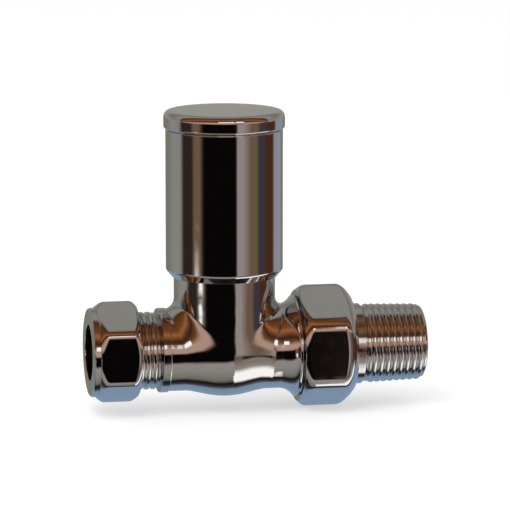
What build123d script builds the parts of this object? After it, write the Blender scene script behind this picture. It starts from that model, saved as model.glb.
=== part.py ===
from build123d import *
from math import cos, pi
import os

# Straight towel rail valve, all sizes in millimetres.
# The run lies along X from the pipe to the radiator, and the spindle stands along Z.
# The origin is the centre of the pipe stop inside the body. Heights are measured from the run axis.

# Pipe threads, each turn given as a ridge of its own
pipe_pitch = 1.814
ridge_depth = 0.7
ridge_crest = 0.6
ridge_root = 0.35
ridge_offset = 0.55

# Pipe end of the body
pipe_bore_r = 7.55
socket_depth = 15.4
stop_to_centre = 14.0
spigot_thread_r = 10.48
spigot_thread_length = 11.1
bead_r = 11.4
bead_width = 2.3
bead_round = 0.25
pipe_arm_r = 11.1

# Bulb and neck of the body
neck_r = 13.64
neck_top_z = 26.0
belly_depth = 12.6
tee_fillet = 3.0

# Union end of the body
union_arm_r = 11.3
bell_start = 14.2
bell_length = 4.5
bell_rim_r = 13.7
bell_land = 0.5
union_thread_r = 13.22
union_thread_length = 7.8
seat_cone_r = 11.0
seat_cone_depth = 2.8

# Waterway and seat inside the body
inlet_r = 4.5
inlet_drop = 6.0
seat_z = 4.0
seat_nib = 1.0
seat_land = 1.2
chamber_r = 8.0
rise_bore_r = 4.0
outlet_r = 5.5
outlet_length = 12.5
rise_inset = 1.5
rise_sink = 1.1

# Compression nut and olive
nut_af = 24.6
nut_edge_round = 2.2
nut_length = 12.9
nut_face_r = 12.1
nut_end_slope = 1.2
nut_collar_r = 12.0
nut_collar_length = 1.8
nut_collar_round = 0.9
nut_mouth_wall = 1.9
olive_thickness = 1.35
olive_tip = 0.45
olive_taper = 2.5
olive_crown = 2.6
olive_gap = 0.3

# Union nut and tail
union_af = 30.0
union_edge_round = 4.0
union_face_r = 14.8
union_end_face_r = 13.0
union_end_slope = 1.8
union_end_wall = 4.4
nut_bell_gap = 0.4
collar_r = 12.0
collar_thickness = 2.8
union_gap = 0.15
collar_gap = 0.1
tail_shank_r = 10.9
nut_hole_gap = 0.2
tail_neck = 3.15
tail_thread_r = 10.77
tail_thread_length = 16.75
tail_taper = 1 / 16
tail_lead = 0.4
tail_key_af = 12.0

# Headgear
thread_gap = 0.05
bonnet_thread_r = 10.0
bonnet_thread_depth = 14.0
bonnet_af = 22.0
bonnet_hex_height = 5.0
guide_r = 7.5
guide_height = 10.0
spindle_thread_r = 6.0
spindle_r = 5.0
spindle_gap = 0.04
spindle_turns = 3.5
spindle_pitch = 1.5
lift_margin = 0.65
square_af = 7.0
square_length = 10.0
square_shoulder = 2.0
bonnet_seal_section_r = 0.9
o_ring_section_r = 0.74
o_ring_side_gap = 0.2
o_ring_first = 3.0
o_ring_spacing = 5.0
seal_gap = 0.03

# Jumper and its washer
close_gap = 0.05
washer_r = 6.4
washer_thickness = 3.0
jumper_plate = 2.0
jumper_rim = 0.55
jumper_rim_depth = 1.6
jumper_stem_r = 2.5
jumper_stem_length = 8.0
stud_r = 1.5
stud_end = 0.35
washer_nut_af = 5.5
washer_nut_height = 2.2

# Handle, its insert, screw and cap
handle_height = 39.85
skirt_overlap = 6.15
skirt_gap = 0.3
skirt_lip = 0.31
skirt_chamfer_width = 0.85
skirt_chamfer_height = 1.35
skirt_round_width = 0.64
skirt_round_height = 1.95
ledge_r = 12.0
ledge_thickness = 3.0
ledge_drop = 1.0
insert_bore_gap = 0.06
insert_base = 3.0
insert_gap = 0.03
insert_rim = 1.5
insert_rim_height = 6.0
insert_rib = 1.6
insert_rib_count = 6
hub_r = 6.5
hub_proud = 0.4
screw_r = 2.0
screw_length = 9.0
screw_head_r = 4.0
screw_head_height = 2.6
screw_slot = 0.9
screw_slot_depth = 1.3
screw_washer_r = 4.6
screw_washer_thickness = 0.8
cap_overhang = 0.54
cap_height = 4.7
cap_crown_round = 2.0
cap_under_round = 0.5
cap_groove = 0.3
cap_groove_depth = 0.65
cap_top_wall = 2.0
cap_spigot_length = 4.0
cap_spigot_wall = 1.5
edge_round = 0.35

# Room that a cut has beyond the surface it cuts
cut_margin = 1.0

# Places along the run
centre_x = stop_to_centre
spigot_end_x = -socket_depth
bead_start_x = spigot_end_x + spigot_thread_length
bell_start_x = centre_x + bell_start
bell_end_x = bell_start_x + bell_length + bell_land
union_face_x = bell_end_x + union_thread_length
olive_r = pipe_bore_r + olive_thickness
olive_tip_r = pipe_bore_r + olive_tip
crown_right_x = spigot_end_x - olive_gap
crown_left_x = crown_right_x - olive_crown
nut_cone_x = crown_left_x - olive_gap
nut_mouth_x = nut_cone_x - olive_taper - nut_mouth_wall
collar_face_x = union_face_x + union_gap
shoulder_x = collar_face_x + collar_thickness + collar_gap
union_nut_end_x = shoulder_x + union_end_wall
union_nut_start_x = bell_end_x + nut_bell_gap
tail_thread_x = union_nut_end_x + tail_neck
tail_end_x = tail_thread_x + tail_thread_length
seat_cone_inner_r = seat_cone_r - seat_cone_depth

# Heights along the spindle
seat_floor_z = seat_z - seat_nib
chamber_top_z = neck_top_z - bonnet_thread_depth
washer_z = seat_z + close_gap
washer_top_z = washer_z + washer_thickness
jumper_top_z = washer_top_z + jumper_plate
stem_top_z = jumper_top_z + jumper_stem_length
spindle_lift = spindle_turns * spindle_pitch
bonnet_foot_z = jumper_top_z + spindle_lift + lift_margin
spindle_foot_z = jumper_top_z + close_gap
spindle_thread_top_z = neck_top_z - spindle_lift - lift_margin
bonnet_hex_top_z = neck_top_z + bonnet_hex_height
guide_top_z = bonnet_hex_top_z + guide_height
square_z = guide_top_z + square_shoulder
square_top_z = square_z + square_length
o_ring_groove_r = spindle_r + spindle_gap - 2 * (o_ring_section_r + seal_gap)
handle_bottom_z = neck_top_z - skirt_overlap
handle_top_z = handle_bottom_z + handle_height
skirt_r = neck_r + skirt_gap
skirt_lip_r = skirt_r + skirt_lip
skirt_chamfer_r = skirt_lip_r + skirt_chamfer_width
handle_r = skirt_chamfer_r + skirt_round_width
cap_r = handle_r + cap_overhang
skirt_chamfer_z = handle_bottom_z + skirt_chamfer_height
skirt_round_z = skirt_chamfer_z + skirt_round_height
ledge_z = square_z - ledge_drop
ledge_top_z = ledge_z + ledge_thickness
insert_bore_r = skirt_r + insert_bore_gap
hub_top_z = square_top_z + hub_proud
screw_seat_z = hub_top_z + screw_washer_thickness
cap_under_z = handle_top_z + cap_groove
cap_top_z = cap_under_z + cap_height

run_axis = Axis.X
spindle_axis = Axis((centre_x, 0, 0), (0, 0, 1))
across_run = Plane.YZ


def level(z):
    """The flat plane across the spindle axis at height z."""
    return Plane.XY.offset(z).move(Location((centre_x, 0, 0)))


def run_outline(*points):
    """A closed outline of (x, radius) points, to be turned about the run axis."""
    with BuildSketch(Plane.XZ) as outline:
        with BuildLine():
            Polyline(*points, close=True)
        make_face()
    return outline.sketch


def spindle_outline(*points):
    """A closed outline of (radius, z) points, to be turned about the spindle axis."""
    with BuildSketch(Plane.XZ.move(Location((centre_x, 0, 0)))) as outline:
        with BuildLine():
            Polyline(*points, close=True)
        make_face()
    return outline.sketch


def corner_r(across_flats):
    """The radius to the corners of a hexagon."""
    return across_flats / 2 / cos(pi / 6)


def thread_ridges(start, length, crest_r, taper):
    """Outline points of a thread's ridges along the run: for each a foot, two crest corners and a foot."""
    points = []
    for number in range(int(length / pipe_pitch)):
        along = (number + ridge_offset) * pipe_pitch
        radius = crest_r - along * taper / 2
        for side, height in ((-1, 0), (-1, 1), (1, 1), (1, 0)):
            half_width = ridge_crest / 2 if height else (pipe_pitch - ridge_root) / 2
            points.append((start + along + side * half_width, radius - ridge_depth * (1 - height)))
    return points


def chamfered_bar(start, end, across_flats, start_r, end_r, end_slope):
    """The outline that chamfers both ends of a hexagon.

    The cone at the start is 45 degrees from the radius start_r, and the other is end_slope from end_r.
    """
    top_r = corner_r(across_flats) + cut_margin
    return run_outline(
        (start, 0),
        (start, start_r),
        (start + top_r - start_r, top_r),
        (end - (top_r - end_r) / end_slope, top_r),
        (end, end_r),
        (end, 0),
    )


def o_ring_outline(ring_r, z, section_r):
    """The round section of an O-ring at height z."""
    with BuildSketch(Plane.XZ.move(Location((centre_x, 0, 0)))) as section:
        with Locations((ring_r, z)):
            Circle(section_r)
    return section.sketch


# Valve body: two arms and their threads, blended into an upright bulb and neck
inlet_start = Vector(0, 0, -inlet_drop * 0.08)
inlet_end = Vector(centre_x, 0, -inlet_drop)
outlet_start_x = union_face_x - outlet_length
rise_start = Vector(centre_x + chamber_r - rise_inset, 0, seat_z + rise_bore_r - rise_sink)
rise_end = Vector(outlet_start_x + outlet_r / 2, 0, 0)
seal_pocket_z = neck_top_z - 2 * (bonnet_seal_section_r + seal_gap)

with BuildPart() as valve_body:
    revolve(
        run_outline(
            (bead_start_x, 0),
            (bead_start_x, pipe_arm_r),
            (centre_x, pipe_arm_r),
            (centre_x, union_arm_r),
            (bell_end_x, union_arm_r),
            (bell_end_x, 0),
        ),
        axis=run_axis,
    )
    with BuildSketch(across_run.offset(centre_x)):
        with BuildLine():
            belly = CenterArc((0, neck_r - belly_depth), neck_r, -90, 90)
            Polyline(belly @ 1, (neck_r, neck_top_z), (0, neck_top_z), belly @ 0)
        make_face()
    revolve(axis=spindle_axis)
    curved_edges = valve_body.edges().filter_by(GeomType.LINE, reverse=True)
    tee_edges = curved_edges.filter_by(GeomType.CIRCLE, reverse=True)
    pipe_side, union_side = tee_edges.group_by(lambda e: e.center().X > centre_x)
    fillet(pipe_side, radius=tee_fillet)
    fillet(union_side, radius=tee_fillet)
    # Spigot's thread and the bead behind it
    revolve(
        run_outline(
            (spigot_end_x, 0),
            (spigot_end_x, spigot_thread_r - ridge_depth),
            *thread_ridges(spigot_end_x, spigot_thread_length, spigot_thread_r, 0),
            (bead_start_x, spigot_thread_r - ridge_depth),
            (bead_start_x, bead_r - bead_round),
            (bead_start_x + bead_round, bead_r),
            (bead_start_x + bead_width - bead_round, bead_r),
            (bead_start_x + bead_width, bead_r - bead_round),
            (bead_start_x + bead_width, 0),
        ),
        axis=run_axis,
    )
    # Bell that flares from the union arm, and the union's thread
    with BuildSketch(Plane.XZ):
        with BuildLine():
            bell = TangentArc(
                (bell_start_x, union_arm_r),
                (bell_start_x + bell_length, bell_rim_r),
                tangent=(1, 0),
            )
            Polyline(
                bell @ 1,
                (bell_end_x, bell_rim_r),
                (bell_end_x, union_thread_r),
                (union_face_x, union_thread_r),
                (union_face_x, 0),
                (bell_start_x, 0),
                bell @ 0,
            )
        make_face()
    revolve(axis=run_axis)
    # Pipe socket with the mouth that the olive seats in
    revolve(
        run_outline(
            (spigot_end_x, 0),
            (spigot_end_x, olive_r),
            (spigot_end_x + olive_taper, olive_tip_r),
            (spigot_end_x + olive_taper, pipe_bore_r),
            (0, pipe_bore_r),
            (0, 0),
        ),
        axis=run_axis,
        mode=Mode.SUBTRACT,
    )
    # Inlet that dips under the seat, and the seat's own bore
    with BuildSketch(Plane(origin=inlet_start, z_dir=inlet_end - inlet_start)):
        Circle(inlet_r)
    extrude(amount=(inlet_end - inlet_start).length, mode=Mode.SUBTRACT)
    with BuildSketch(level(-inlet_drop)):
        Circle(inlet_r)
    extrude(amount=inlet_drop + seat_z, mode=Mode.SUBTRACT)
    with Locations((centre_x, 0, -inlet_drop)):
        Sphere(inlet_r, mode=Mode.SUBTRACT)
    # Chamber round the seat's nib, and the neck's thread and seal pocket
    revolve(
        spindle_outline(
            (0, seat_z),
            (inlet_r + seat_land, seat_z),
            (inlet_r + seat_land, seat_floor_z),
            (chamber_r, seat_floor_z),
            (chamber_r, chamber_top_z),
            (bonnet_thread_r, chamber_top_z),
            (bonnet_thread_r, seal_pocket_z),
            (bonnet_thread_r + 2 * bonnet_seal_section_r, seal_pocket_z),
            (bonnet_thread_r + 2 * bonnet_seal_section_r, neck_top_z),
            (0, neck_top_z),
        ),
        axis=spindle_axis,
        mode=Mode.SUBTRACT,
    )
    # Bore that drops from the chamber to the outlet, and the union's seat cone
    with BuildSketch(Plane(origin=rise_start, z_dir=rise_end - rise_start)):
        Circle(rise_bore_r)
    extrude(amount=(rise_end - rise_start).length, mode=Mode.SUBTRACT)
    revolve(
        run_outline(
            (outlet_start_x, 0),
            (outlet_start_x, outlet_r),
            (union_face_x - seat_cone_depth, outlet_r),
            (union_face_x - seat_cone_depth, seat_cone_inner_r),
            (union_face_x, seat_cone_r),
            (union_face_x, 0),
        ),
        axis=run_axis,
        mode=Mode.SUBTRACT,
    )

# Compression nut: hexagon with a round collar at the pipe's mouth
hex_start_x = nut_mouth_x + nut_collar_length
nut_end_x = nut_mouth_x + nut_length
with BuildPart() as compression_nut:
    with BuildSketch(across_run.offset(hex_start_x)) as nut_section:
        RegularPolygon(nut_af / 2, 6, major_radius=False, rotation=30)
        fillet(nut_section.vertices(), radius=nut_edge_round)
    extrude(amount=nut_end_x - hex_start_x)
    revolve(
        chamfered_bar(hex_start_x, nut_end_x, nut_af, nut_face_r, nut_face_r, nut_end_slope),
        axis=run_axis,
        mode=Mode.INTERSECT,
    )
    with BuildSketch(across_run.offset(nut_mouth_x)):
        Circle(nut_collar_r)
    extrude(amount=nut_collar_length)
    fillet(compression_nut.edges().filter_by(GeomType.CIRCLE).sort_by(Axis.X)[0], radius=nut_collar_round)
    revolve(
        run_outline(
            (nut_mouth_x, 0),
            (nut_mouth_x, pipe_bore_r),
            (nut_cone_x - olive_taper, pipe_bore_r),
            (nut_cone_x - olive_taper, olive_tip_r),
            (nut_cone_x, olive_r),
            (nut_cone_x, spigot_thread_r + thread_gap),
            (nut_end_x, spigot_thread_r + thread_gap),
            (nut_end_x, 0),
        ),
        axis=run_axis,
        mode=Mode.SUBTRACT,
    )

# Olive: brass ring with a taper at each end
with BuildPart() as compression_olive:
    revolve(
        run_outline(
            (crown_left_x - olive_taper, pipe_bore_r),
            (crown_left_x - olive_taper, olive_tip_r),
            (crown_left_x, olive_r),
            (crown_right_x, olive_r),
            (crown_right_x + olive_taper, olive_tip_r),
            (crown_right_x + olive_taper, pipe_bore_r),
        ),
        axis=run_axis,
    )

# Union nut: hexagon chamfered at both ends, with a shoulder behind the tail's collar
with BuildPart() as union_nut:
    with BuildSketch(across_run.offset(union_nut_start_x)) as union_section:
        RegularPolygon(union_af / 2, 6, major_radius=False, rotation=30)
        fillet(union_section.vertices(), radius=union_edge_round)
    extrude(amount=union_nut_end_x - union_nut_start_x)
    revolve(
        chamfered_bar(
            union_nut_start_x,
            union_nut_end_x,
            union_af,
            union_face_r,
            union_end_face_r,
            union_end_slope,
        ),
        axis=run_axis,
        mode=Mode.INTERSECT,
    )
    revolve(
        run_outline(
            (union_nut_start_x, 0),
            (union_nut_start_x, union_thread_r + thread_gap),
            (shoulder_x, union_thread_r + thread_gap),
            (shoulder_x, tail_shank_r + nut_hole_gap),
            (union_nut_end_x, tail_shank_r + nut_hole_gap),
            (union_nut_end_x, 0),
        ),
        axis=run_axis,
        mode=Mode.SUBTRACT,
    )

# Union tail: seat cone, collar, shank and taper thread, with a hexagon for its key right through
tail_end_r = tail_thread_r - tail_thread_length * tail_taper / 2 - ridge_depth - tail_lead
with BuildPart() as union_tail:
    revolve(
        run_outline(
            (collar_face_x - seat_cone_depth, 0),
            (collar_face_x - seat_cone_depth, seat_cone_inner_r),
            (collar_face_x, seat_cone_r),
            (collar_face_x, collar_r),
            (collar_face_x + collar_thickness, collar_r),
            (collar_face_x + collar_thickness, tail_shank_r),
            (tail_thread_x, tail_shank_r),
            *thread_ridges(tail_thread_x, tail_thread_length, tail_thread_r, tail_taper),
            (tail_end_x, tail_end_r),
            (tail_end_x, 0),
        ),
        axis=run_axis,
    )
    with BuildSketch(across_run.offset(collar_face_x - seat_cone_depth)):
        RegularPolygon(tail_key_af / 2, 6, major_radius=False, rotation=30)
    extrude(amount=tail_end_x - collar_face_x + seat_cone_depth, mode=Mode.SUBTRACT)

# Bonnet: screwed into the neck, with a hexagon and a tall guide for the spindle
with BuildPart() as bonnet:
    revolve(
        spindle_outline(
            (0, bonnet_foot_z),
            (bonnet_thread_r - thread_gap, bonnet_foot_z),
            (bonnet_thread_r - thread_gap, neck_top_z),
            (0, neck_top_z),
        ),
        axis=spindle_axis,
    )
    with BuildSketch(level(neck_top_z)):
        RegularPolygon(bonnet_af / 2, 6, major_radius=False)
    extrude(amount=bonnet_hex_height)
    with BuildSketch(level(bonnet_hex_top_z)):
        Circle(guide_r)
    extrude(amount=guide_height)
    revolve(
        spindle_outline(
            (0, bonnet_foot_z),
            (spindle_thread_r + thread_gap, bonnet_foot_z),
            (spindle_thread_r + thread_gap, neck_top_z),
            (spindle_r + spindle_gap, neck_top_z),
            (spindle_r + spindle_gap, guide_top_z),
            (0, guide_top_z),
        ),
        axis=spindle_axis,
        mode=Mode.SUBTRACT,
    )

with BuildPart() as bonnet_seal:
    revolve(
        o_ring_outline(
            bonnet_thread_r + bonnet_seal_section_r,
            neck_top_z - bonnet_seal_section_r - seal_gap,
            bonnet_seal_section_r - seal_gap,
        ),
        axis=spindle_axis,
    )

# Spindle: threaded foot with a bore for the jumper, a stem with two grooves and a square top
o_ring_heights = [neck_top_z + o_ring_first, neck_top_z + o_ring_first + o_ring_spacing]
groove_half = o_ring_section_r + o_ring_side_gap
with BuildPart() as spindle:
    with BuildSketch(level(spindle_foot_z)):
        Circle(spindle_thread_r)
    extrude(amount=spindle_thread_top_z - spindle_foot_z)
    with BuildSketch(level(spindle_thread_top_z)):
        Circle(spindle_r)
    extrude(amount=square_z - spindle_thread_top_z)
    with BuildSketch(level(square_z)):
        Rectangle(square_af, square_af)
    extrude(amount=square_length)
    for groove_z in o_ring_heights:
        revolve(
            spindle_outline(
                (o_ring_groove_r, groove_z - groove_half),
                (spindle_r + cut_margin, groove_z - groove_half),
                (spindle_r + cut_margin, groove_z + groove_half),
                (o_ring_groove_r, groove_z + groove_half),
            ),
            axis=spindle_axis,
            mode=Mode.SUBTRACT,
        )
    with BuildSketch(level(spindle_foot_z)):
        Circle(jumper_stem_r + spindle_gap)
    extrude(amount=stem_top_z + close_gap - spindle_foot_z, mode=Mode.SUBTRACT)
    with BuildSketch(level(square_top_z - screw_length)):
        Circle(screw_r + spindle_gap)
    extrude(amount=screw_length, mode=Mode.SUBTRACT)

o_ring_r = o_ring_groove_r + seal_gap + o_ring_section_r
with BuildPart() as spindle_o_ring_lower:
    revolve(o_ring_outline(o_ring_r, o_ring_heights[0], o_ring_section_r), axis=spindle_axis)

with BuildPart() as spindle_o_ring_upper:
    revolve(o_ring_outline(o_ring_r, o_ring_heights[1], o_ring_section_r), axis=spindle_axis)

# Jumper: cup for the rubber washer, a stem into the spindle above and a stud for the nut below
stud_foot_z = washer_z - washer_nut_height - stud_end
with BuildPart() as jumper:
    revolve(
        spindle_outline(
            (0, stud_foot_z),
            (stud_r, stud_foot_z),
            (stud_r, washer_top_z),
            (washer_r + close_gap, washer_top_z),
            (washer_r + close_gap, washer_top_z - jumper_rim_depth),
            (washer_r + close_gap + jumper_rim, washer_top_z - jumper_rim_depth),
            (washer_r + close_gap + jumper_rim, jumper_top_z),
            (jumper_stem_r, jumper_top_z),
            (jumper_stem_r, stem_top_z),
            (0, stem_top_z),
        ),
        axis=spindle_axis,
    )

with BuildPart() as valve_washer:
    with BuildSketch(level(washer_z)):
        Circle(washer_r)
        Circle(stud_r + close_gap, mode=Mode.SUBTRACT)
    extrude(amount=washer_thickness)

with BuildPart() as washer_nut:
    with BuildSketch(level(washer_z - washer_nut_height)):
        RegularPolygon(washer_nut_af / 2, 6, major_radius=False)
        Circle(stud_r + close_gap, mode=Mode.SUBTRACT)
    extrude(amount=washer_nut_height)

# Handle: sleeve with a rounded skirt over the neck and a ledge inside for its insert
with BuildPart() as handle:
    with BuildSketch(Plane.XZ.move(Location((centre_x, 0, 0)))):
        with BuildLine():
            TangentArc(
                (handle_r, skirt_round_z),
                (skirt_chamfer_r, skirt_chamfer_z),
                tangent=(0, -1),
            )
            Polyline(
                (skirt_chamfer_r, skirt_chamfer_z),
                (skirt_lip_r, handle_bottom_z),
                (skirt_r, handle_bottom_z),
                (skirt_r, ledge_z),
                (ledge_r, ledge_z),
                (ledge_r, ledge_top_z),
                (insert_bore_r, ledge_top_z),
                (insert_bore_r, handle_top_z),
                (handle_r, handle_top_z),
                (handle_r, skirt_round_z),
            )
        make_face()
    revolve(axis=spindle_axis)
    top_edges = handle.faces().sort_by(Axis.Z)[-1].edges().sort_by(SortBy.RADIUS)
    fillet(top_edges[-1], radius=edge_round)

# Handle insert: drive bush with a rim, a hub on the spindle's square and ribs between them
insert_r = insert_bore_r - insert_gap
with BuildPart() as handle_insert:
    with BuildSketch(level(ledge_top_z)):
        Circle(insert_r)
    extrude(amount=insert_base)
    with BuildSketch(level(ledge_top_z)):
        Circle(insert_r)
        Circle(insert_r - insert_rim, mode=Mode.SUBTRACT)
    extrude(amount=insert_rim_height)
    with BuildSketch(level(ledge_top_z)):
        with PolarLocations((hub_r + insert_r - insert_rim) / 2, insert_rib_count):
            Rectangle(insert_r - insert_rim - hub_r + insert_rib, insert_rib)
    extrude(amount=insert_rim_height)
    with BuildSketch(level(square_z)):
        Circle(hub_r)
    extrude(amount=hub_top_z - square_z)
    with BuildSketch(level(square_z)):
        Rectangle(square_af + 2 * spindle_gap, square_af + 2 * spindle_gap)
    extrude(amount=hub_top_z - square_z, mode=Mode.SUBTRACT)

# Screw and washer that hold the insert down on the spindle
with BuildPart() as handle_screw:
    with BuildSketch(level(square_top_z - screw_length + stud_end)):
        Circle(screw_r)
    extrude(amount=screw_seat_z - square_top_z + screw_length - stud_end)
    with BuildSketch(level(screw_seat_z)):
        Circle(screw_head_r)
    extrude(amount=screw_head_height)
    fillet(handle_screw.edges().sort_by(Axis.Z)[-1], radius=screw_head_height / 3)
    with BuildSketch(level(screw_seat_z + screw_head_height - screw_slot_depth)):
        Rectangle(screw_head_r, screw_slot)
        Rectangle(screw_slot, screw_head_r)
    extrude(amount=screw_slot_depth, mode=Mode.SUBTRACT)

with BuildPart() as screw_washer:
    with BuildSketch(level(hub_top_z)):
        Circle(screw_washer_r)
        Circle(screw_r + 2 * close_gap, mode=Mode.SUBTRACT)
    extrude(amount=screw_washer_thickness)

# Handle cap: disc with a bead edge, a shadow groove under it and a spigot in the handle
cap_spigot_r = insert_bore_r - insert_gap
with BuildPart() as handle_cap:
    with BuildSketch(level(cap_under_z)):
        Circle(cap_r)
    extrude(amount=cap_height)
    fillet(handle_cap.edges().sort_by(Axis.Z)[-1], radius=cap_crown_round)
    fillet(handle_cap.edges().sort_by(Axis.Z)[0], radius=cap_under_round)
    with BuildSketch(level(handle_top_z)):
        Circle(handle_r - cap_groove_depth)
    extrude(amount=cap_groove)
    with BuildSketch(level(handle_top_z - cap_spigot_length)):
        Circle(cap_spigot_r)
    extrude(amount=cap_spigot_length)
    with BuildSketch(level(handle_top_z - cap_spigot_length)):
        Circle(cap_spigot_r - cap_spigot_wall)
    extrude(amount=cap_top_z - cap_top_wall - handle_top_z + cap_spigot_length, mode=Mode.SUBTRACT)

pieces = {
    "valve_body": valve_body,
    "compression_nut": compression_nut,
    "compression_olive": compression_olive,
    "union_nut": union_nut,
    "union_tail": union_tail,
    "bonnet": bonnet,
    "bonnet_seal": bonnet_seal,
    "spindle": spindle,
    "spindle_o_ring_lower": spindle_o_ring_lower,
    "spindle_o_ring_upper": spindle_o_ring_upper,
    "jumper": jumper,
    "valve_washer": valve_washer,
    "washer_nut": washer_nut,
    "handle": handle,
    "handle_insert": handle_insert,
    "handle_screw": handle_screw,
    "screw_washer": screw_washer,
    "handle_cap": handle_cap,
}

os.makedirs("parts", exist_ok=True)
for name, piece in pieces.items():
    piece.part.label = name
    export_step(piece.part, f"parts/{name}.step")
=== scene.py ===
# %% [markdown]
# # A straight towel rail valve in polished chrome
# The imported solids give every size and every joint. This lesson lays a finer skin over each piece that can
# be seen, works out its points with numpy, and gives it the finish of the real part.

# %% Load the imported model
import bpy
import numpy as np
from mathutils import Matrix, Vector


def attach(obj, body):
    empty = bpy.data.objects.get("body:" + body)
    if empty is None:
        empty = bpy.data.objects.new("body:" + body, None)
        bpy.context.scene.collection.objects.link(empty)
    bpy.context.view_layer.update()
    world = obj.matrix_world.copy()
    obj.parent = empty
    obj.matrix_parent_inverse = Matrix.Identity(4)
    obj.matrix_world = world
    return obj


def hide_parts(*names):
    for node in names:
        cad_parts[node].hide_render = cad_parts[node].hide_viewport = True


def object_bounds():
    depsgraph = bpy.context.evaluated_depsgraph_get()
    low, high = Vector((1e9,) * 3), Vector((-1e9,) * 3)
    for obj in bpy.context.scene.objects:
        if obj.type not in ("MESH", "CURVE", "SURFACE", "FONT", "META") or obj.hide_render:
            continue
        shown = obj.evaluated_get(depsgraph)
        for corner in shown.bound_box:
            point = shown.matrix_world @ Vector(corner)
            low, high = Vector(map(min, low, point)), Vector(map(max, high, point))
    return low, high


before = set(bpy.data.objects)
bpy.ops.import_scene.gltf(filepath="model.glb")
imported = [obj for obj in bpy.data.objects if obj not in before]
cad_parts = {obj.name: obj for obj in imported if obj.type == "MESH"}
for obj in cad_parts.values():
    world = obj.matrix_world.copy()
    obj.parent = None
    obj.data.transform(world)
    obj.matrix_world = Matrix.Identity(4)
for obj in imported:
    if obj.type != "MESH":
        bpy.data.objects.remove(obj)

cad_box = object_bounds()
print("CAD box in mm", [[round(float(c) * 1000, 2) for c in corner] for corner in cad_box])

# %% [markdown]
# ## Camera
# The valve is seen from a little left of its front and a little above. A long lens one metre away keeps the
# perspective as gentle as in a product picture. All lengths below are in millimetres, and are turned into
# metres where they meet Blender.

# %% Camera
MM = 0.001
centre = np.array([14.0, 0.0, 0.0])
azimuth, elevation, distance = np.radians(-10.18), np.radians(10.82), 1000.0
back = np.array([
    np.sin(azimuth) * np.cos(elevation),
    -np.cos(azimuth) * np.cos(elevation),
    np.sin(elevation),
])
right = np.array([np.cos(azimuth), np.sin(azimuth), 0.0])
up = np.cross(back, right)
eye = centre + distance * back
aim_right, aim_up = 8.30, 25.06
target = centre + aim_right * right + aim_up * up

camera = bpy.data.objects.new("camera", bpy.data.cameras.new("camera"))
camera.data.lens = 261.4
camera.data.sensor_width = 36.0
camera.location = eye * MM
camera.rotation_euler = Vector(target - eye).to_track_quat("-Z", "Y").to_euler()
bpy.context.scene.collection.objects.link(camera)
bpy.context.scene.camera = camera
print("camera at", np.round(eye, 1), "aims at", np.round(target, 1))

# %% [markdown]
# ## From a grid of points to a mesh
# Every piece here is a grid: one direction goes round the piece and the other runs along its profile. The
# same few lines make the mesh of them all. A mirror finish shows the slightest fault in shading, so the
# direction of the surface at each point is worked out from its neighbours on the grid and given to the mesh
# as well.

# %% Grid to mesh
def unit(v):
    """Each vector divided by its length."""
    return v / np.maximum(np.linalg.norm(v, axis=-1, keepdims=True), 1e-12)


def grid_normals(points, loop):
    """Cross product of the grid's two directions, each taken from the neighbours of a point."""
    if loop:
        along = np.roll(points, -1, 0) - np.roll(points, 1, 0)
    else:
        padded = np.concatenate([points[:1], points, points[-1:]])
        along = padded[2:] - padded[:-2]
    around = np.roll(points, -1, 1) - np.roll(points, 1, 1)
    return unit(np.cross(along, around))


def skin(name, points, loop=False, poles=(False, False), normals=None):
    """Mesh of a grid that closes round its columns, and along its rows too if loop is set.

    A row at a pole is drawn in to one point. The faces are turned outwards by the sign of the volume.
    """
    rows, columns = points.shape[:2]
    if normals is None:
        normals = grid_normals(points, loop)
    index = np.arange(rows * columns).reshape(rows, columns)
    for pole, row, neighbour in ((poles[0], 0, 1), (poles[1], rows - 1, rows - 2)):
        if pole:
            index[row] = index[row, 0]
            normals[row] = unit(normals[neighbour].mean(0))
    lower = index if loop else index[:-1]
    upper = np.roll(index, -1, 0) if loop else index[1:]
    quads = np.stack([lower, np.roll(lower, -1, 1), np.roll(upper, -1, 1), upper], -1).reshape(-1, 4)
    flat = points.reshape(-1, 3)
    middle = flat.mean(0)
    a, b, c, d = (flat[quads[:, k]] - middle for k in range(4))
    volume = (np.cross(b - a, c - a) * a).sum() + (np.cross(c - a, d - a) * a).sum()
    if volume < 0:
        quads = quads[:, ::-1]
    facing = np.cross(flat[quads[:, 2]] - flat[quads[:, 0]], flat[quads[:, 3]] - flat[quads[:, 1]])
    if (facing * normals.reshape(-1, 3)[quads[:, 0]]).sum() < 0:
        normals = -normals

    first_pole = quads[:, 0] == quads[:, 1]
    last_pole = quads[:, 2] == quads[:, 3]
    whole = ~(first_pole | last_pole)
    triangles = np.concatenate([quads[first_pole][:, [0, 2, 3]], quads[last_pole][:, [0, 1, 2]]])
    corners = np.concatenate([quads[whole].ravel(), triangles.ravel()])
    sizes = np.concatenate([np.full(whole.sum(), 4), np.full(len(triangles), 3)])
    used, corners = np.unique(corners, return_inverse=True)

    mesh = bpy.data.meshes.new(name)
    mesh.vertices.add(len(used))
    mesh.vertices.foreach_set("co", (flat[used] * MM).ravel())
    mesh.loops.add(len(corners))
    mesh.loops.foreach_set("vertex_index", corners.ravel())
    mesh.polygons.add(len(sizes))
    mesh.polygons.foreach_set("loop_start", np.cumsum(sizes) - sizes)
    mesh.polygons.foreach_set("loop_total", sizes)
    mesh.update(calc_edges=True)
    mesh.shade_smooth()
    mesh.normals_split_custom_set_from_vertices(normals.reshape(-1, 3)[used])
    piece = bpy.data.objects.new(name, mesh)
    bpy.context.scene.collection.objects.link(piece)
    print(name, len(used), "points,", len(sizes), "faces")
    return piece


# %% [markdown]
# ## Profiles with softened corners
# Turned and polished brass has no knife edges. A profile is written as a list of corners, and each corner
# is replaced by a short curve, so that the chrome has an edge to catch the light on.

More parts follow.
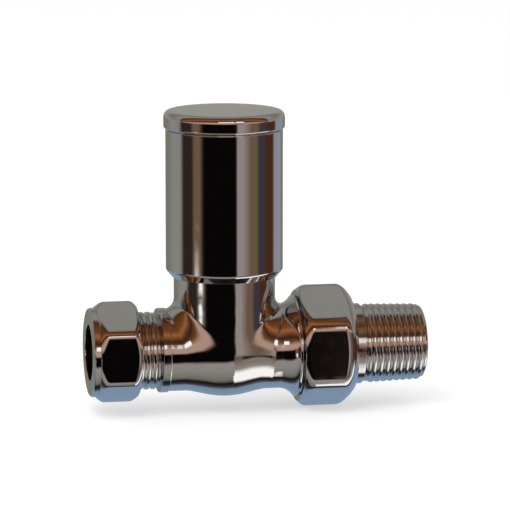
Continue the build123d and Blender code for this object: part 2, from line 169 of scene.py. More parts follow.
# %% Profiles
def softened(path, radius, steps=7, loop=False):
    """The path with each corner replaced by the curve (1-t)^2 start + 2t(1-t) corner + t^2 end.

    Start and end lie on the two sides at most radius / tan(half the angle) from the corner. The path has two
    coordinates on its last axis, and may have a column for each angle round the piece before them.
    """
    path = np.asarray(path, float)
    if path.ndim == 2:
        path = path[:, None, :]
    if loop:
        path = np.concatenate([path[-1:], path, path[:1]])
    corner = path[1:-1]
    to_start, to_end = path[:-2] - corner, path[2:] - corner
    length_start = np.linalg.norm(to_start, axis=-1, keepdims=True)
    length_end = np.linalg.norm(to_end, axis=-1, keepdims=True)
    cosine = (unit(to_start) * unit(to_end)).sum(-1, keepdims=True)
    half = np.arccos(np.clip(cosine, -1, 1)) / 2
    size = np.broadcast_to(radius, len(corner)).reshape(-1, 1, 1)
    reach = np.minimum(size / np.tan(np.maximum(half, 0.05)), 0.48 * np.minimum(length_start, length_end))
    start, end = corner + unit(to_start) * reach, corner + unit(to_end) * reach
    t = np.linspace(0, 1, steps).reshape(1, steps, 1, 1)
    curve = (1 - t) ** 2 * start[:, None] + 2 * t * (1 - t) * corner[:, None] + t ** 2 * end[:, None]
    curve = curve.reshape(-1, *path.shape[1:])
    return curve if loop else np.concatenate([path[:1], curve, path[-1:]])


def turned_on_spindle(path, columns=192):
    """A profile of (radius, height) carried round the spindle."""
    angle = np.linspace(0, 2 * np.pi, columns, endpoint=False)
    radius, height = path[..., 0], path[..., 1]
    return np.stack(np.broadcast_arrays(
        centre[0] + radius * np.cos(angle), radius * np.sin(angle), height), -1)


def turned_on_run(path, angle):
    """A profile of (place along the run, radius) carried round the run. It may differ at each angle."""
    place, radius = path[..., 0], path[..., 1]
    return np.stack(np.broadcast_arrays(place, radius * np.cos(angle), radius * np.sin(angle)), -1)


# %% [markdown]
# ## Handle
# The handle is a drawn sleeve that slips over the neck. Its foot is drawn in by a short cone and a round,
# and its top edge is broken. The profile goes up the outside and down the bore, so it closes on itself.

# %% Handle
neck_top, handle_r, handle_foot, handle_top = 26.0, 15.74, 19.85, 59.7
handle_path = softened([
    (13.94, handle_foot),
    (14.1, handle_foot),
    (handle_r, handle_foot + 1.95),
    (handle_r, handle_top),
    (14.0, handle_top),
    (14.0, 45.0),
    (12.0, 45.0),
    (12.0, 42.0),
    (13.94, 42.0),
], [0.08, 0.25, 1.2, 0.3, 0.15, 0.1, 0.2, 0.2, 0.1], steps=9, loop=True)
handle = skin("handle_sleeve", turned_on_spindle(handle_path), loop=True)
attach(handle, "control")
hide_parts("handle")

# %% [markdown]
# ## Handle cap
# The cap is a turned disc with a rounded bead, pressed into the sleeve by a hollow spigot. A narrow step
# under the bead leaves the dark line that parts the cap from the handle.

# %% Handle cap
cap_r, cap_foot, cap_top = 16.28, 60.0, 64.7
cap_path = softened([
    (0.0, cap_top),
    (cap_r, cap_top),
    (cap_r, cap_foot),
    (15.09, cap_foot),
    (15.09, handle_top),
    (13.97, handle_top),
    (13.97, 55.7),
    (12.47, 55.7),
    (12.47, 62.7),
    (0.0, 62.7),
], [2.0, 0.55, 0.08, 0.05, 0.1, 0.2, 0.2, 0.3], steps=12)
cap = skin("handle_cap_disc", turned_on_spindle(cap_path), poles=(True, True))
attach(cap, "control")
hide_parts("handle_cap")

# %% [markdown]
# ## Body: the blended tee
# The body is forged, so its arms flow into the bulb and neck with a fillet. A field does this well: each
# simple form gives its distance, and a rounded join of two distances gives the fillet. Rays that fan out
# from inside the body are then followed to the place where the field is zero. The roots of the rays slide
# along the run towards the bell, because a fan from one point can't see into the hollow of the flare.

# %% Body tee
bell_start, bell_length, bell_rise = 14.2, 4.5, 2.4
bell_curve = (bell_length ** 2 + bell_rise ** 2) / (2 * bell_rise)


def rounded_join(a, b, fillet):
    """Two distances joined so that a fillet of the given radius fills the corner between their forms."""
    inside = np.hypot(np.maximum(fillet - a, 0), np.maximum(fillet - b, 0))
    return np.maximum(fillet, np.minimum(a, b)) - inside


def tee_field(p):
    """Distance to the arms joined to the distance to the bulb and neck, below zero inside."""
    x, y, z = p[..., 0] - centre[0], p[..., 1], p[..., 2]
    along_bell = np.clip(x - bell_start, 0, bell_length)
    flare = bell_curve - np.sqrt(bell_curve ** 2 - along_bell ** 2)
    arms = np.hypot(y, z) - (11.2 + 0.1 * np.clip(x / 10, -1, 1) + flare)
    bulb = np.sqrt(x ** 2 + y ** 2 + np.minimum(z - 1.04, 0) ** 2) - 13.64
    return np.maximum(rounded_join(arms, bulb, 3.0), z - neck_top)


def field_normals(field, p, step=0.02):
    """Direction in which the field grows, from its change over a small step along each axis."""
    steps = np.eye(3) * step
    return unit(np.stack([field(p + s) - field(p - s) for s in steps], -1))


fan = np.radians(np.concatenate([np.linspace(146.9, 42, 200), np.linspace(42, 60.0, 61)[1:]]))
root = np.concatenate([np.zeros(200), np.linspace(0, 11.0, 61)[1:]])
angle = np.linspace(0, 2 * np.pi, 288, endpoint=False)
ray = np.stack(np.broadcast_arrays(
    np.cos(fan)[:, None],
    np.sin(fan)[:, None] * np.cos(angle),
    np.sin(fan)[:, None] * np.sin(angle)), -1)
base = np.zeros(ray.shape)
base[..., 0] = centre[0] + root[:, None]
near, far = np.zeros(ray.shape[:2]), np.full(ray.shape[:2], 45.0)
for halving in range(34):
    middle = (near + far) / 2
    outside = tee_field(base + ray * middle[..., None]) > 0
    near, far = np.where(outside, near, middle), np.where(outside, middle, far)
tee_points = base + ray * far[..., None]
tee = skin("body_tee", tee_points, normals=field_normals(tee_field, tee_points))
print("tee reaches from", tee_points.min((0, 1)).round(2), "to", tee_points.max((0, 1)).round(2))

# %% [markdown]
# ## Threads
# Pipe threads have flanks at 55 degrees with rounded crests and roots. The height of such a thread is one
# wave that repeats along the run and shifts by one pitch in each turn, so a thread is a profile whose
# radius depends on the angle too. No separate helix is needed.

# %% Thread
pitch, thread_depth, crest_power = 1.814, 0.6, 2.6


def thread_height(place, angle):
    """0 in the root and 1 on the crest: a wave of place / pitch - turns, with straight flanks and round ends.

    One minus a power of the depth makes the crests broad and the roots narrow, as plating and polish do.
    """
    wave = np.cos(2 * np.pi * (place / pitch - angle / (2 * np.pi)))
    depth = 0.5 - np.arcsin(0.94 * wave) / (2 * np.arcsin(0.94))
    return 1 - depth ** crest_power


def ease(x, low, high):
    """0 below low, 1 above high and a smooth step between them."""
    t = np.clip((x - low) / (high - low), 0, 1)
    return t * t * (3 - 2 * t)


def threaded_rows(start, end, radius, angle, fade_start=0.6, fade_end=0.6, per_turn=18):
    """Rows of (place, radius) along a thread whose crest radius is a function of place.

    Near its ends the crest is cut down to the root over the fade lengths, as a chamfer or run-out does.
    """
    count = int(abs(end - start) / pitch * per_turn)
    place = np.linspace(start, end, count)[:, None]
    low, high = min(start, end), max(start, end)
    fades = (fade_start, fade_end) if start < end else (fade_end, fade_start)
    shown = ease(place, low, low + fades[0]) * (1 - ease(place, high - fades[1], high))
    height = thread_height(place, angle) * shown
    rows = radius(place) - thread_depth * (1 - height)
    return np.stack(np.broadcast_arrays(place, rows), -1)


# %% [markdown]
# ## Body: the pipe spigot
# Left of the tee come a small bead, the thread for the compression nut, the mouth for the olive and the
# socket for the pipe. All are turned on a lathe. The socket ends in a stop, and the inlet behind it is
# drilled at a slope, so that it dips below the seat. Its rows are lowered more the deeper they lie.

# %% Pipe spigot
around = np.linspace(0, 2 * np.pi, 168, endpoint=False)


def every_angle(path):
    """The same profile at each angle."""
    return np.broadcast_to(path, (len(path), len(around), 2))


spigot_outside = every_angle(softened([
    (-2.0, 10.4),
    (-2.0, 11.4),
    (-4.3, 11.4),
    (-4.3, 9.32),
    (-4.6, 9.32),
], [0.3, 0.3, 0.1]))
spigot_thread = threaded_rows(-4.7, -15.1, lambda x: 10.48 + 0 * x, around, 1.2, 0.9)
spigot_inside = every_angle(softened([
    (-15.2, 9.30),
    (-15.4, 9.15),
    (-15.4, 8.9),
    (-12.9, 8.0),
    (-12.9, 7.55),
    (0.0, 7.55),
    (0.0, 4.5),
    (14.0, 4.5),
    (14.0, 0.0),
], [0.1, 0.1, 0.1, 0.1, 0.1, 0.1, 1.5]))
spigot_points = turned_on_run(np.concatenate([spigot_outside, spigot_thread, spigot_inside]), around)
inlet_length, dip_at_stop, dip_at_seat = 14.0, 0.48, 6.0
corners_before_inlet, rows_at_corner = 5, 7
first_inlet_row = len(spigot_points) - len(spigot_inside) + 1 + corners_before_inlet * rows_at_corner
inlet = spigot_points[first_inlet_row:]
depth_share = np.clip(inlet[..., 0], 0, inlet_length) / inlet_length
inlet[..., 2] -= dip_at_stop + (dip_at_seat - dip_at_stop) * depth_share
spigot = skin("body_pipe_spigot", spigot_points, poles=(False, True))

# %% [markdown]
# ## Body: the union spigot
# Right of the bell come the thread for the union nut and the cone that the tail seats on. Both are hidden
# until the nut is undone.

# %% Union spigot
union_outside = every_angle(softened([
    (32.8, 13.69),
    (33.2, 13.69),
    (33.2, 12.06),
    (33.5, 12.06),
], [0.25, 0.1]))
union_thread = threaded_rows(33.6, 40.8, lambda x: 13.22 + 0 * x, around, 0.9, 0.9)
union_inside = every_angle(softened([
    (40.9, 12.06),
    (41.0, 11.9),
    (41.0, 11.0),
    (38.2, 8.2),
    (38.2, 5.5),
    (28.5, 5.5),
    (28.5, 0.0),
], [0.05, 0.15, 0.1, 0.1, 1.2]))
union_points = turned_on_run(np.concatenate([union_outside, union_thread, union_inside]), around)
union_spigot = skin("body_union_spigot", union_points, poles=(False, True))

for piece in (tee, spigot, union_spigot):
    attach(piece, "valve")
    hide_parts("valve_body")

# %% [markdown]
# ## Hexagon nuts
# A nut is a hexagon bar whose ends are chamfered in a lathe, which leaves curved edges where the cones meet
# the flats. Both can be written as radii: the hexagon's depends on the angle and the cone's on the place
# along the bar. The smaller of the two is the nut, and a smooth minimum gives it polished edges.

# %% Nut form
def smooth_least(a, b, width):
    """The smaller of two values, rounded off where they differ by less than the width."""
    overlap = np.maximum(width - np.abs(a - b), 0) / width
    return np.minimum(a, b) - overlap ** 2 * width / 4


def hexagon(angle, flat, width, crown=0.0):
    """Distance from the axis to a hexagon with flats at the given distance, facing front and back.

    A flat falls off from its middle by the square of the place along it, and by the crown at its edges.
    """
    fold = np.abs((angle + np.pi / 6) % (np.pi / 3) - np.pi / 6)

    def crowned(turn):
        """One flat, seen at the given turn from its middle."""
        return (flat - crown * 3 * np.tan(turn) ** 2) / np.cos(turn)

    return smooth_least(crowned(fold), crowned(np.pi / 3 - fold), width)


def nut_rows(start, end, flat, crown, start_r, end_r, end_slope, softness, end_softness, angle):
    """Rows of (place, radius) over the outside of a nut: faces' rims, chamfer cones and flats.

    The cone at the start rises by 1 for each millimetre along the nut, and the one at the end by end_slope.
    The polished edges between flats are as wide as the softness, and those at the end as the end's softness.
    """
    hexa = hexagon(angle, flat, softness, crown)
    corner_r = flat / np.cos(np.pi / 6)
    start_reach, end_reach = corner_r - start_r + 1.2, (corner_r - end_r + end_softness) / end_slope + 0.2
    place = np.concatenate([
        np.linspace(start + 0.1, start + start_reach, 36),
        np.linspace(start + start_reach, end - end_reach, 6)[1:-1],
        np.linspace(end - end_reach, end - 0.1, 44)])[:, None]
    radius = smooth_least(start_r + place - start, hexa, 1.0)
    radius = smooth_least(end_r + end_slope * (end - place), radius, end_softness)
    sides = np.stack(np.broadcast_arrays(place, radius), -1)
    rows = [sides]
    for at, edge in ((start, sides[0, :, 1]), (end, sides[-1, :, 1])):
        corner = np.stack(np.broadcast_arrays(at, edge - 0.1), -1)
        inner = np.stack(np.broadcast_arrays(at, edge - 0.6), -1)
        if at == start:
            rows.insert(0, softened(np.stack([inner, corner, sides[0]]), 0.12, steps=5)[:-1])
        else:
            rows.append(softened(np.stack([sides[-1], corner, inner]), 0.12, steps=5)[1:])
    return np.concatenate(rows)


# %% [markdown]
# ## Compression nut and olive
# The nut has a round collar at the pipe's mouth. Inside it, a cone presses the brass olive onto the pipe.
# From here on the grids have more columns, because the edges of a hexagon need them.

# %% Compression nut and olive
around = np.linspace(0, 2 * np.pi, 240, endpoint=False)
collar_outside = every_angle(softened([
    (-21.1, 7.55),
    (-23.0, 7.55),
    (-23.0, 12.0),
    (-21.2, 12.0),
    (-21.2, 11.6),
], [0.25, 0.9, 0.05], steps=9))
nut_inside = every_angle(softened([
    (-10.1, 11.0),
    (-10.1, 10.53),
    (-18.6, 10.53),
    (-18.6, 8.9),
    (-21.1, 8.0),
], [0.25, 0.1, 0.1]))
nut_outside = nut_rows(
    -21.2, -10.1, flat=12.3, crown=0.2, start_r=12.3, end_r=12.3, end_slope=1.2,
    softness=1.0, end_softness=1.2, angle=around)
nut_points = turned_on_run(np.concatenate([collar_outside, nut_outside, nut_inside]), around)
nut = skin("compression_nut_hexagon", nut_points, loop=True)
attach(nut, "pipe_nut")
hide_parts("compression_nut")

olive_path = softened([
    (-20.8, 7.55),
    (-20.8, 8.0),
    (-18.3, 8.9),
    (-15.7, 8.9),
    (-13.2, 8.0),
    (-13.2, 7.55),
], 0.12, loop=True)
olive = skin("olive_ring", turned_on_run(every_angle(olive_path), around), loop=True)
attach(olive, "olive")
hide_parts("compression_olive")

# %% [markdown]
# ## Union nut
# The larger nut is chamfered at both ends and pulls the tail's collar onto the body's cone. The wheel that
# polished it has rounded its outer end most, so the softness there is wide.

# %% Union nut
union_nut_inside = every_angle(softened([
    (48.45, 11.5),
    (48.45, 11.1),
    (44.05, 11.1),
    (44.05, 13.27),
    (33.6, 13.27),
    (33.6, 14.0),
], [0.3, 0.1, 0.1, 0.25]))
union_nut_outside = nut_rows(
    33.6, 48.45, flat=15.0, crown=0.12, start_r=15.0, end_r=13.4, end_slope=1.9,
    softness=2.4, end_softness=4.6, angle=around)
union_nut_points = turned_on_run(np.concatenate([union_nut_outside, union_nut_inside]), around)
union_nut = skin("union_nut_hexagon", union_nut_points, loop=True)
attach(union_nut, "union_ring")
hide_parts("union_nut")

# %% [markdown]
# ## Union tail
# The tail's thread tapers by one in sixteen, so that it tightens in the radiator. A hexagon for the
# fitter's key runs right through it. The profile changes from round to hexagon inside the end face.

# %% Union tail
hexagon_hole = hexagon(around, 6.0, 0.08)


def at_hole(place, extra=0.0):
    """A row on the hexagon hole's wall."""
    return np.stack(np.broadcast_arrays(place, hexagon_hole + extra), -1)


tail_front = every_angle(softened([
    (38.35, 7.9),
    (38.35, 8.2),
    (41.15, 11.0),
    (41.15, 12.0),
    (43.95, 12.0),
    (43.95, 10.9),
    (51.0, 10.9),
    (51.6, 10.3),
    (51.7, 9.7),
], [0.1, 0.1, 0.2, 0.2, 0.1, 0.15, 0.1]))
tail_thread = threaded_rows(51.75, 68.0, lambda x: 10.77 - (x - 51.6) / 32, around, 1.6, 1.3)
tail_end = every_angle(softened([(68.1, 9.05), (68.35, 8.9), (68.35, 7.6)], [0.12]))
hole_out = softened(np.stack([at_hole(68.35, 0.5), at_hole(68.35), at_hole(66.0)]), 0.25)
hole_in = softened(np.stack([at_hole(41.0), at_hole(38.35), at_hole(38.35, 0.5)]), 0.15)
tail_points = turned_on_run(np.concatenate([tail_front, tail_thread, tail_end, hole_out, hole_in]), around)
tail = skin("union_tail_thread", tail_points, loop=True)
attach(tail, "tail")
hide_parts("union_tail")

# %% [markdown]
# ## Finishes
# One function turns an sRGB hex colour into the linear values that Blender mixes in, and one adds a node
# with its settings and links. Patterns read Object coordinates, which are metres here, so the scale of a
# pattern is one over its size.

# %% Nodes and colours
def linear(colour):
    """An sRGB hex colour as linear red, green, blue and alpha."""
    c = np.array([int(colour[k:k + 2], 16) for k in (1, 3, 5)]) / 255
    return (*np.where(c <= 0.04045, c / 12.92, ((c + 0.055) / 1.055) ** 2.4), 1.0)


def add(tree, kind, links=None, **settings):
    """Adds a node. A link's value is a socket to join or a value to set, and settings are the node's own."""
    node = tree.nodes.new(kind)
    for name, value in settings.items():
        setattr(node, name, value)
    for name, value in (links or {}).items():
        if isinstance(value, bpy.types.NodeSocket):
            tree.links.new(value, node.inputs[name])
        else:
            node.inputs[name].default_value = value
    return node


def new_material(name):
    """An empty material with its output, and the tree to fill."""
    material = bpy.data.materials.new(name)
    material.use_nodes = True
    material.node_tree.nodes.clear()
    return material, material.node_tree


# %% [markdown]
# ## Polished chrome plate
# Bright chrome is plated on polished brass. It is nearly a mirror, a little darker than silver, and the
# buffing leaves the surface very slightly wavy and the gloss very slightly uneven. The forged body is much
# wavier than the turned sleeve and the machined nuts. A thread can't be buffed so well, and stays a little
# hazy.

# %% Chrome
def polished_chrome(name, wave_mm, wave_depth_mm, haze):
    """Chrome with waves of the given size and depth, and roughness that wanders up to the given haze."""
    material, tree = new_material(name)
    place = add(tree, "ShaderNodeTexCoord").outputs["Object"]
    waves = add(tree, "ShaderNodeTexNoise", {"Vector": place, "Scale": 1000 / wave_mm, "Detail": 1.0})
    buffing = add(tree, "ShaderNodeTexNoise", {"Vector": place, "Scale": 1000 / 3.0, "Detail": 4.0})
    rough = add(tree, "ShaderNodeMapRange", {
        "Value": buffing.outputs["Fac"], "From Min": 0.35, "From Max": 0.75, "To Min": 0.03, "To Max": haze})
    bump = add(tree, "ShaderNodeBump", {
        "Height": waves.outputs["Fac"], "Strength": 1.0, "Distance": wave_depth_mm * MM})
    shader = add(tree, "ShaderNodeBsdfPrincipled", {
        "Base Color": linear("#c9caca"), "Metallic": 1.0,
        "Roughness": rough.outputs["Result"], "Normal": bump.outputs["Normal"]})
    add(tree, "ShaderNodeOutputMaterial", {"Surface": shader.outputs["BSDF"]})
    return material


# Long shallow waves: the stripes on the sleeve stay straight, with edges that aren't quite sharp
chrome_sleeve = polished_chrome(
    "chrome_plate_on_turned_sleeve", wave_mm=9.0, wave_depth_mm=0.006, haze=0.07)
# Deep waves: the bands on the body wander as they do on a hand-polished forging
chrome_body = polished_chrome(
    "chrome_plate_on_forged_brass", wave_mm=5.0, wave_depth_mm=0.060, haze=0.09)
# Faint waves: a flat keeps one tone and still doesn't look like glass
chrome_nut = polished_chrome(
    "chrome_plate_on_machined_hexagon", wave_mm=5.0, wave_depth_mm=0.006, haze=0.08)
# Short waves and more haze: the crests glint without hard lines
chrome_thread = polished_chrome(
    "chrome_plate_on_cut_thread", wave_mm=2.5, wave_depth_mm=0.008, haze=0.16)

# %% [markdown]
# ## Brass, rubber, nylon and steel inside
# The headgear is turned brass with a fine grain, the seals are moulded rubber, the drive bush is nylon, and
# the screw is zinc plated steel. They come into view only when the valve is taken apart.

# %% Inner finishes
def inner_finish(name, colour, metallic, roughness, grain_mm, grain_depth_mm):
    """A finish with a grain of the given size that roughens it and tints it slightly."""
    material, tree = new_material(name)
    place = add(tree, "ShaderNodeTexCoord").outputs["Object"]
    grain = add(tree, "ShaderNodeTexNoise", {"Vector": place, "Scale": 1000 / grain_mm, "Detail": 3.0})
    tint = add(tree, "ShaderNodeValToRGB", {"Fac": grain.outputs["Fac"]})
    tint.color_ramp.elements[0].color = [0.8 * c for c in linear(colour)[:3]] + [1.0]
    tint.color_ramp.elements[1].color = linear(colour)
    rough = add(tree, "ShaderNodeMapRange", {
        "Value": grain.outputs["Fac"], "To Min": roughness * 0.8, "To Max": roughness * 1.2})
    bump = add(tree, "ShaderNodeBump", {
        "Height": grain.outputs["Fac"], "Strength": 1.0, "Distance": grain_depth_mm * MM})
    shader = add(tree, "ShaderNodeBsdfPrincipled", {
        "Base Color": tint.outputs["Color"], "Metallic": metallic,
        "Roughness": rough.outputs["Result"], "Normal": bump.outputs["Normal"]})
    add(tree, "ShaderNodeOutputMaterial", {"Surface": shader.outputs["BSDF"]})
    return material


# Warm yellow metal with a satin sheen, as the tool leaves it
turned_brass = inner_finish(
    "turned_brass", "#c9a45c", metallic=1.0, roughness=0.28, grain_mm=0.8, grain_depth_mm=0.004)
# Near black and dull
moulded_rubber = inner_finish(
    "moulded_nitrile_rubber", "#1c1c1d", metallic=0.0, roughness=0.65, grain_mm=0.5, grain_depth_mm=0.010)
# Off-white with a soft sheen
moulded_nylon = inner_finish(
    "moulded_nylon", "#d8d6cf", metallic=0.0, roughness=0.45, grain_mm=1.2, grain_depth_mm=0.008)
# Cool grey metal, half bright
zinc_steel = inner_finish(
    "zinc_plated_steel", "#b9bcc0", metallic=1.0, roughness=0.30, grain_mm=0.9, grain_depth_mm=0.004)

finishes = {
    chrome_sleeve: [handle, cap],
    chrome_body: [tee],
    chrome_nut: [nut, union_nut],
    chrome_thread: [spigot, union_spigot, tail],
    turned_brass: [olive] + [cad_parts[n] for n in ("bonnet", "spindle", "jumper", "washer_nut")],
    moulded_rubber: [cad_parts[n] for n in (
        "bonnet_seal", "spindle_o_ring_lower", "spindle_o_ring_upper", "valve_washer")],
    moulded_nylon: [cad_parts["handle_insert"]],
    zinc_steel: [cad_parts["handle_screw"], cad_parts["screw_washer"]],
}
for material, pieces in finishes.items():
    for piece in pieces:
        piece.data.materials.clear()
        piece.data.materials.append(material)
    print(material.name, "on", [piece.name for piece in pieces])

# %% [markdown]
# ## The painted reflections on the chrome
# Chrome has no colour of its own: it shows what is round it. Here that is painted: a large dome glows in soft
# bands of colour, which stand for the plain sheets of a studio. Only reflections see the dome, so it lights
# nothing else, and every band on the metal is a painted reflection.
#
# The arms, nuts and threads lie along the run, and show what goes round it: from the front over the top and
# down behind to the floor. The handle stands up, and shows what goes round it at one low height, with a
# painted window highlight on the left. The tail turns a little further to the right than the arms, and there
# the bands are painted lighter.

# %% Painted reflection colours
# The dome glows in these colours, and the chrome shows them as painted reflections; white makes the painted
# highlights.
painted_reflection_colours = {
    "black": "#070505",
    "dark": "#2a211d",
    "russet": "#43271a",
    "umber": "#65503f",
    "brown": "#693d1c",
    "amber": "#8d5a38",
    "rose": "#a68779",
    "grey": "#807d78",
    "mist": "#82838a",
    "stone": "#69685e",
    "slate": "#36343a",
    "floor": "#8a807d",
    "blue": "#72859b",
    "white": "#f4f0ee",
}
# Each stop is an angle from the front, in degrees, and a colour name. Over the top the angle grows upwards.
# In both lists, slate and black straight below the valve are painted shade in the reflection: the valve's own
# shadow on the floor, which the chrome doesn't see itself.
over_the_top = [
    (-180, "grey"), (-150, "blue"), (-112, "blue"), (-102, "slate"), (-88, "black"), (-78, "stone"),
    (-55, "grey"), (-42, "floor"), (-34, "floor"), (-27, "black"), (-13, "black"), (-3, "rose"),
    (10, "rose"), (20, "brown"), (33, "dark"), (42, "brown"), (52, "amber"), (64, "brown"),
    (95, "russet"), (106, "grey"), (124, "grey"), (145, "stone"), (166, "grey"), (180, "grey"),
]
# Painted reflections for the tail alone: lighter bands, and white painted highlights from -82 to -60 and from
# 13 to 23 degrees.
over_the_tail = [
    (-180, "grey"), (-150, "blue"), (-112, "blue"), (-102, "slate"), (-90, "black"), (-82, "white"),
    (-60, "white"), (-48, "floor"), (-22, "umber"), (2, "amber"), (10, "rose"), (13, "white"),
    (23, "white"), (27, "russet"), (42, "umber"), (62, "russet"), (80, "umber"), (98, "russet"),
    (108, "grey"), (124, "grey"), (145, "stone"), (166, "grey"), (180, "grey"),
]
# Round the spindle the angle grows to the right.
left_of_window = [
    (-180, "stone"), (-145, "stone"), (-118, "grey"), (-97, "grey"), (-87, "dark"), (-67, "dark"),
]
# Painted highlight: a white strip round the spindle where a window would be, with stone at its soft edges.
painted_window_highlight = [(-62, "stone"), (-58, "white"), (-54, "white"), (-49, "stone")]
wall = [(-60, "umber"), (-49, "umber")]
right_of_window = [
    (-43, "dark"), (-39, "black"), (22, "black"), (24, "dark"), (26.5, "floor"), (37, "floor"),
    (54, "umber"), (66, "umber"), (73, "slate"), (84, "slate"), (91, "russet"), (110, "russet"),
    (117, "mist"), (140, "mist"), (152, "stone"), (180, "stone"),
]
# A painted patch has its colour, its two ends along the run, as parts of the distance, the softness of those
# ends, and its lowest and highest angle over the top. White ones are painted highlights, umber ones painted
# darker bands.
painted_reflection_patches = [
    ("white", 0.186, 0.550, 0.018, -84, -63),
    ("white", -0.350, 0.157, 0.004, 11, 25),
    ("white", 0.180, 0.188, 0.003, 3, 17),
    ("umber", 0.2085, 0.240, 0.004, -34, -14),
    ("umber", 0.2085, 0.240, 0.004, -8, 4),
]
print(len(painted_reflection_colours), "cards and", len(painted_reflection_patches), "small ones")

# %% [markdown]
# ## Nodes for the painted reflections
# A direction is turned into an angle, and the angle picks a painted colour from a colour ramp. Smooth steps
# make soft edges, and one painted colour is laid over another by its share.

# %% Painted reflection nodes
def part_of_turn(degrees):
    """An angle from the front as a part of a turn, with the front in the middle."""
    return 0.5 + degrees / 360


def band_ramp(turn, stops):
    """A colour ramp of painted reflection colours over one turn, from its list of angles and colour names."""
    ramp = add(tree, "ShaderNodeValToRGB", {"Fac": turn}).color_ramp
    while len(ramp.elements) > 1:
        ramp.elements.remove(ramp.elements[-1])
    ramp.elements[0].position = 0.0
    ramp.elements[0].color = linear(painted_reflection_colours[stops[0][1]])
    for degrees, colour_name in stops[1:]:
        ramp.elements.new(part_of_turn(degrees)).color = linear(painted_reflection_colours[colour_name])
    return tree.nodes[-1].outputs["Color"]


def calculate(operation, *values):
    """The result of one sum on two or three values."""
    return add(tree, "ShaderNodeMath", dict(enumerate(values)), operation=operation).outputs["Value"]


def axes_of(vector):
    """The parts of a direction, divided by its length, and its part towards the front."""
    course = add(tree, "ShaderNodeVectorMath", {0: vector}, operation="NORMALIZE").outputs["Vector"]
    axes = add(tree, "ShaderNodeSeparateXYZ", {"Vector": course}).outputs
    return axes, calculate("MULTIPLY", axes["Y"], -1.0)


def turn_of(first, second):
    """The angle of a direction in one plane, as a part of a turn with the front in the middle."""
    return calculate("MULTIPLY_ADD", calculate("ARCTAN2", first, second), 1 / (2 * np.pi), 0.5)


def blend(share, first, second):
    """The second colour laid over the first by its share."""
    mix = add(tree, "ShaderNodeMix", data_type="RGBA")
    for socket, value in ((0, share), (6, first), (7, second)):
        tree.links.new(value, mix.inputs[socket])
    return mix.outputs[2]


def soft_step(value, low, high):
    """0 where the value is at low and 1 where it is at high, with a smooth change."""
    return add(tree, "ShaderNodeMapRange", {"Value": value, "From Min": low, "From Max": high},
               interpolation_type="SMOOTHSTEP").outputs["Result"]


# %% [markdown]
# ## The painted reflection dome
# The painted bands over the top and round the spindle are set square to the viewer, as a photographer sets up
# a table. The tail's painted bands and the painted patches keep to the valve's own run. The painted window
# highlight fills only the low part of its wall.

# %% Painted reflection dome
dome_material, tree = new_material("painted_reflections")
place = add(tree, "ShaderNodeTexCoord").outputs["Object"]
faced = add(tree, "ShaderNodeMapping", {"Vector": place, "Rotation": (0.0, 0.0, -azimuth)})
axes, front = axes_of(faced.outputs["Vector"])
run, run_front = axes_of(place)
run_turn = turn_of(run["Z"], run_front)

over = band_ramp(turn_of(axes["Z"], front), over_the_top)
around_turn = turn_of(axes["X"], front)
low_bands = band_ramp(around_turn, left_of_window + painted_window_highlight + right_of_window)
high_bands = band_ramp(around_turn, left_of_window + wall + right_of_window)
# The painted window highlight shows only in low directions; above them the wall's umber is painted instead.
round_about = blend(soft_step(axes["Z"], -0.179, -0.156), low_bands, high_bands)
handle_height = -0.155
near_level = soft_step(calculate("ABSOLUTE", calculate("SUBTRACT", axes["Z"], handle_height)), 0.16, 0.07)

# Painted reflection for the tail only: its bands take over in the directions that only the tail turns to.
tail_end_on = calculate(
    "MAXIMUM", soft_step(run["X"], 0.50, 0.40), soft_step(run_turn, part_of_turn(-20), part_of_turn(-40)))
tail_side = calculate("MULTIPLY", soft_step(run["X"], 0.208, 0.212), tail_end_on)
over = blend(tail_side, over, band_ramp(run_turn, over_the_tail))
bands = blend(near_level, over, round_about)

edge_degrees = 4
# Each patch is painted into the reflections over its stretch of the run only, so that chosen parts catch a
# painted highlight or a painted darker band.
for colour_name, start, end, soft, low, high in painted_reflection_patches:
    share = soft_step(run["X"], start, start + soft)
    for edge in (
        soft_step(run["X"], end, end - soft),
        soft_step(run_turn, part_of_turn(low), part_of_turn(low + edge_degrees)),
        soft_step(run_turn, part_of_turn(high), part_of_turn(high - edge_degrees)),
    ):
        share = calculate("MULTIPLY", share, edge)
    plain = add(tree, "ShaderNodeRGB").outputs["Color"]
    plain.default_value = linear(painted_reflection_colours[colour_name])
    bands = blend(share, bands, plain)
# The dome's painted reflections glow at a fixed strength; no lamp stands behind them.
glow = add(tree, "ShaderNodeEmission", {"Color": bands, "Strength": 1.75})
add(tree, "ShaderNodeOutputMaterial", {"Surface": glow.outputs["Emission"]})

dome_r = 9000.0
tilt = np.linspace(0, np.pi, 33)[:, None]
turn = np.linspace(0, 2 * np.pi, 64, endpoint=False)
dome_points = dome_r * np.stack(np.broadcast_arrays(
    np.sin(tilt) * np.cos(turn), np.sin(tilt) * np.sin(turn), np.cos(tilt)), -1)
dome = skin("painted_reflection_dome", dome_points, poles=(True, True))
dome.data.materials.append(dome_material)
dome.visible_camera = dome.visible_diffuse = dome.visible_shadow = dome.visible_transmission = False

# %% [markdown]
# ## Floor, light and background
# The valve stands on a plain white floor. The floor takes a soft shadow, and its own glow towards the
# camera brings the lit part up to the white of the background without more light on the metal.

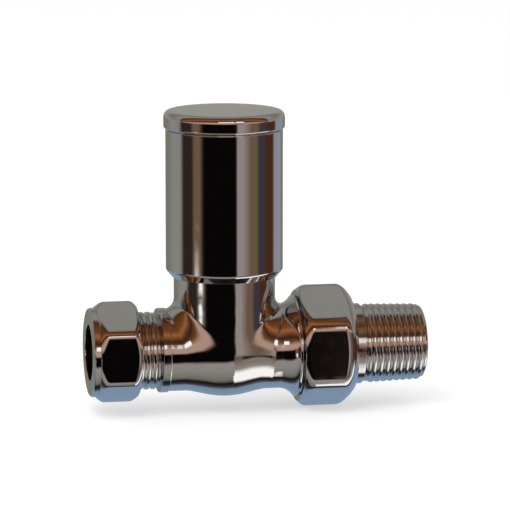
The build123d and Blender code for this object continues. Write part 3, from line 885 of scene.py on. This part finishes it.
# %% Floor and light
lowest = float(cad_box[0][2]) / MM
floor_material, tree = new_material("white_floor")
path = add(tree, "ShaderNodeLightPath").outputs
matt = add(tree, "ShaderNodeBsdfDiffuse", {"Color": linear("#d0d0d0")})
shine = add(tree, "ShaderNodeEmission", {"Color": linear("#ffffff"), "Strength": 0.5})
both = add(tree, "ShaderNodeAddShader", {0: matt.outputs["BSDF"], 1: shine.outputs["Emission"]})
chosen = add(tree, "ShaderNodeMixShader", {
    0: path["Is Camera Ray"], 1: matt.outputs["BSDF"], 2: both.outputs["Shader"]})
add(tree, "ShaderNodeOutputMaterial", {"Surface": chosen.outputs["Shader"]})

spread = np.array([0.0, 1500.0, 4000.0])[:, None]
floor_points = np.stack(np.broadcast_arrays(
    spread * np.cos(turn), spread * np.sin(turn), lowest - 0.02), -1)
floor = skin("floor", floor_points, poles=(True, False))
floor.data.materials.append(floor_material)
floor.visible_glossy = False

world = bpy.data.worlds.new("white_room")
bpy.context.scene.world = world
world.use_nodes = True
world.node_tree.nodes.clear()
tree = world.node_tree
path = add(tree, "ShaderNodeLightPath").outputs
seen = add(tree, "ShaderNodeMath", {0: path["Is Camera Ray"], 1: path["Is Glossy Ray"]}, operation="MAXIMUM")
seen = add(tree, "ShaderNodeMath", {
    0: seen.outputs["Value"], 1: path["Is Transmission Ray"]}, operation="MAXIMUM")
strength = add(tree, "ShaderNodeMapRange", {"Value": seen.outputs["Value"], "To Min": 0.75, "To Max": 1.0})
sky = add(tree, "ShaderNodeBackground", {
    "Color": linear("#ffffff"), "Strength": strength.outputs["Result"]})
add(tree, "ShaderNodeOutputWorld", {"Surface": sky.outputs["Background"]})

lamp = bpy.data.objects.new("soft_box", bpy.data.lights.new("soft_box", "AREA"))
lamp.data.size = 0.6
lamp.data.energy = 3.0
lamp.location = (-0.35, -0.45, 0.75)
lamp.rotation_euler = Vector((0.36, 0.45, -0.72)).to_track_quat("-Z", "Y").to_euler()
lamp.visible_glossy = False
bpy.context.scene.collection.objects.link(lamp)
bpy.context.scene.view_settings.view_transform = "Standard"
print("floor at", round(lowest, 2), "mm")
